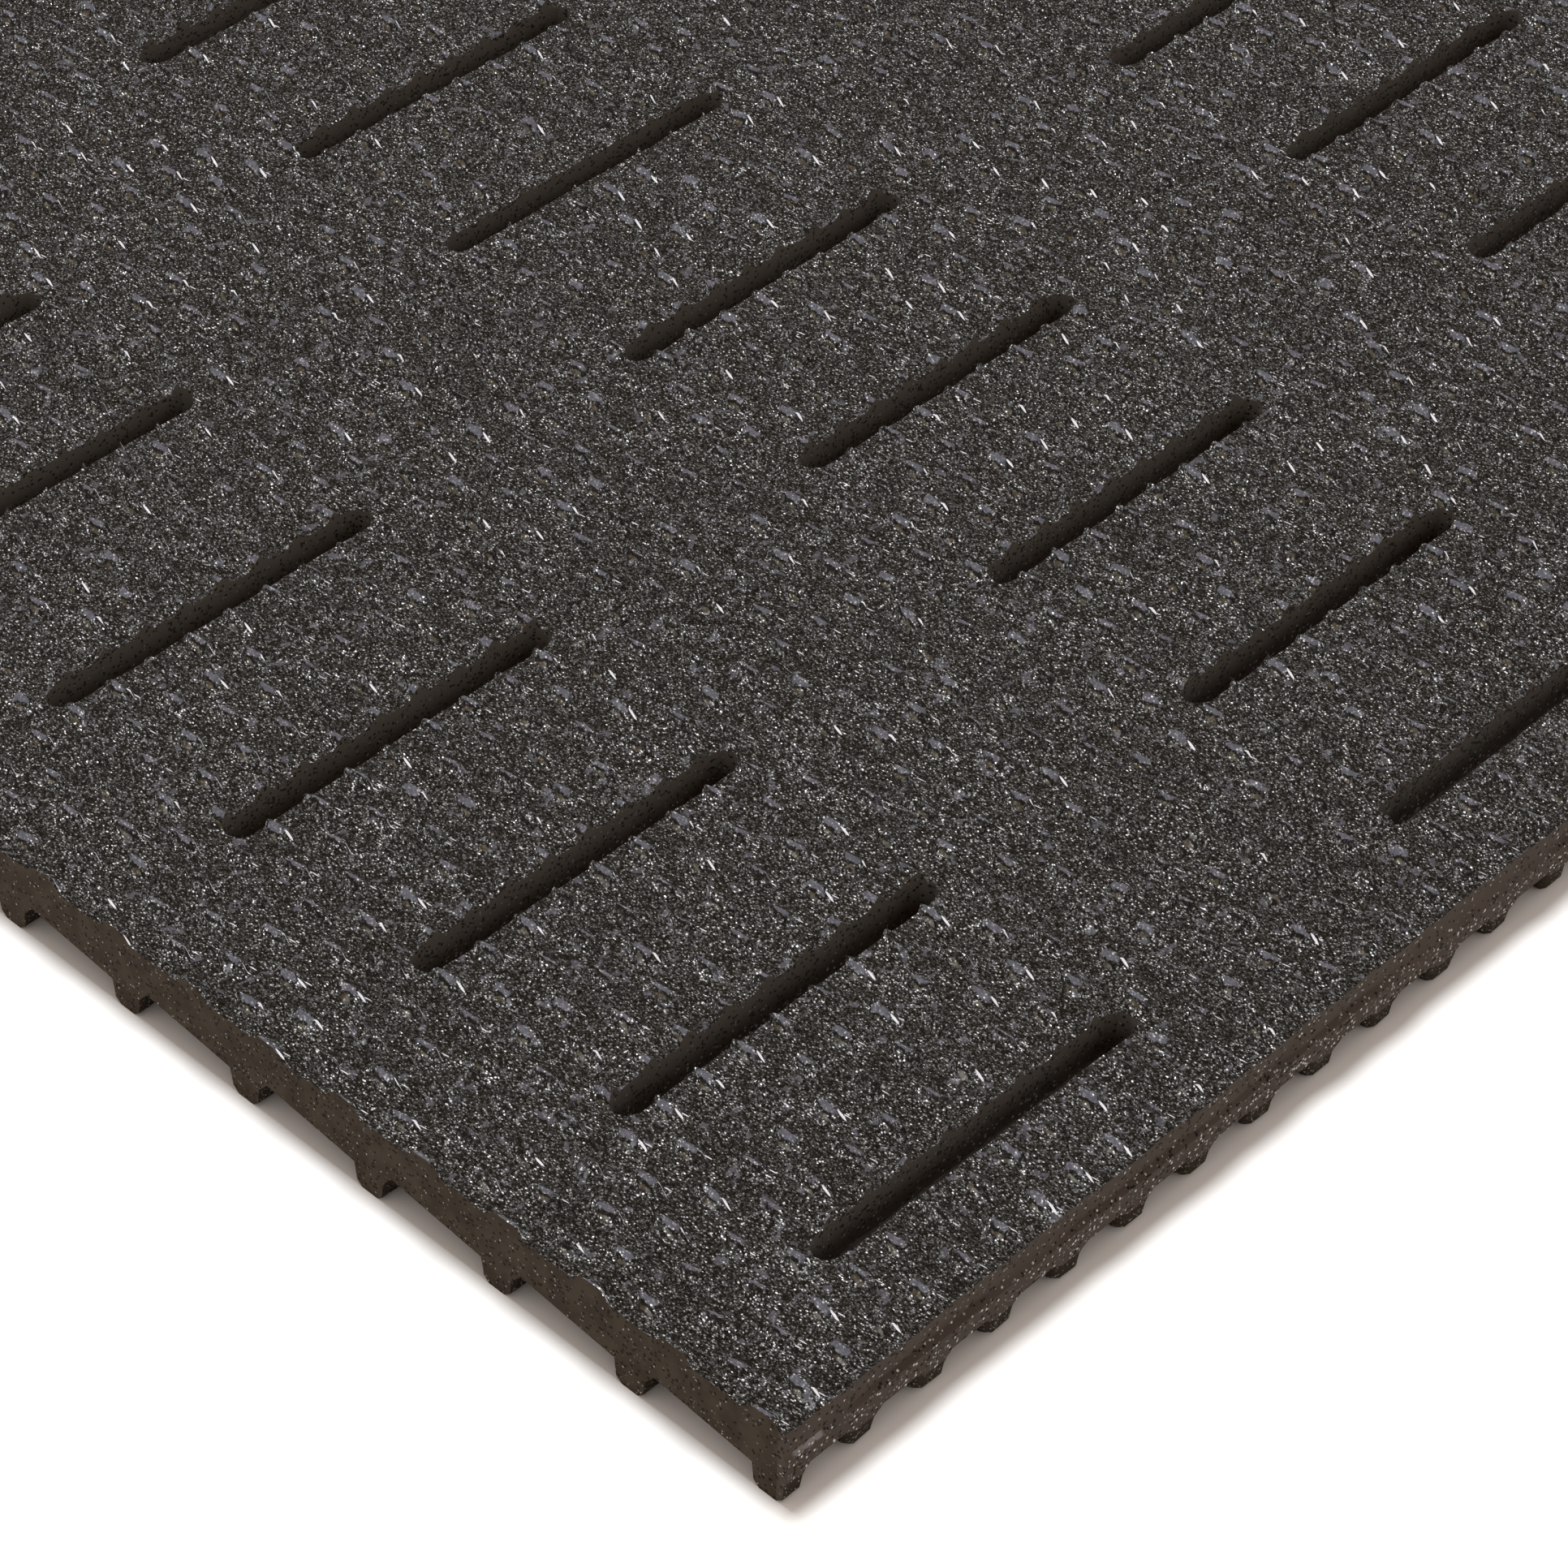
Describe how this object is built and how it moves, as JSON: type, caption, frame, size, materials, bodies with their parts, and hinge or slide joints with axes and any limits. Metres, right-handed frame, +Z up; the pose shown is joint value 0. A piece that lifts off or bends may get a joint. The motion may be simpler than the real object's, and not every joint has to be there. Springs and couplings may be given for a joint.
{
  "type": "abrasive-coated floor mat",
  "caption": "Flat rectangular anti-slip floor mat of foamed rubber with a gritty embossed top, rows of drainage slots and ribs underneath.",
  "frame": {"origin": "on the floor, under the middle of the mat", "axes": "+X along the slots and ribs, +Y along the mat's length, across the slots, +Z up out of the tread"},
  "size_m": [0.61, 0.915, 0.01],
  "materials": {
    "gritty_rubber": "dark grey foamed rubber with a sparkling abrasive grit coat"
  },
  "bodies": {
    "root": {"mat": "gritty_rubber"}
  },
  "joints": []
}
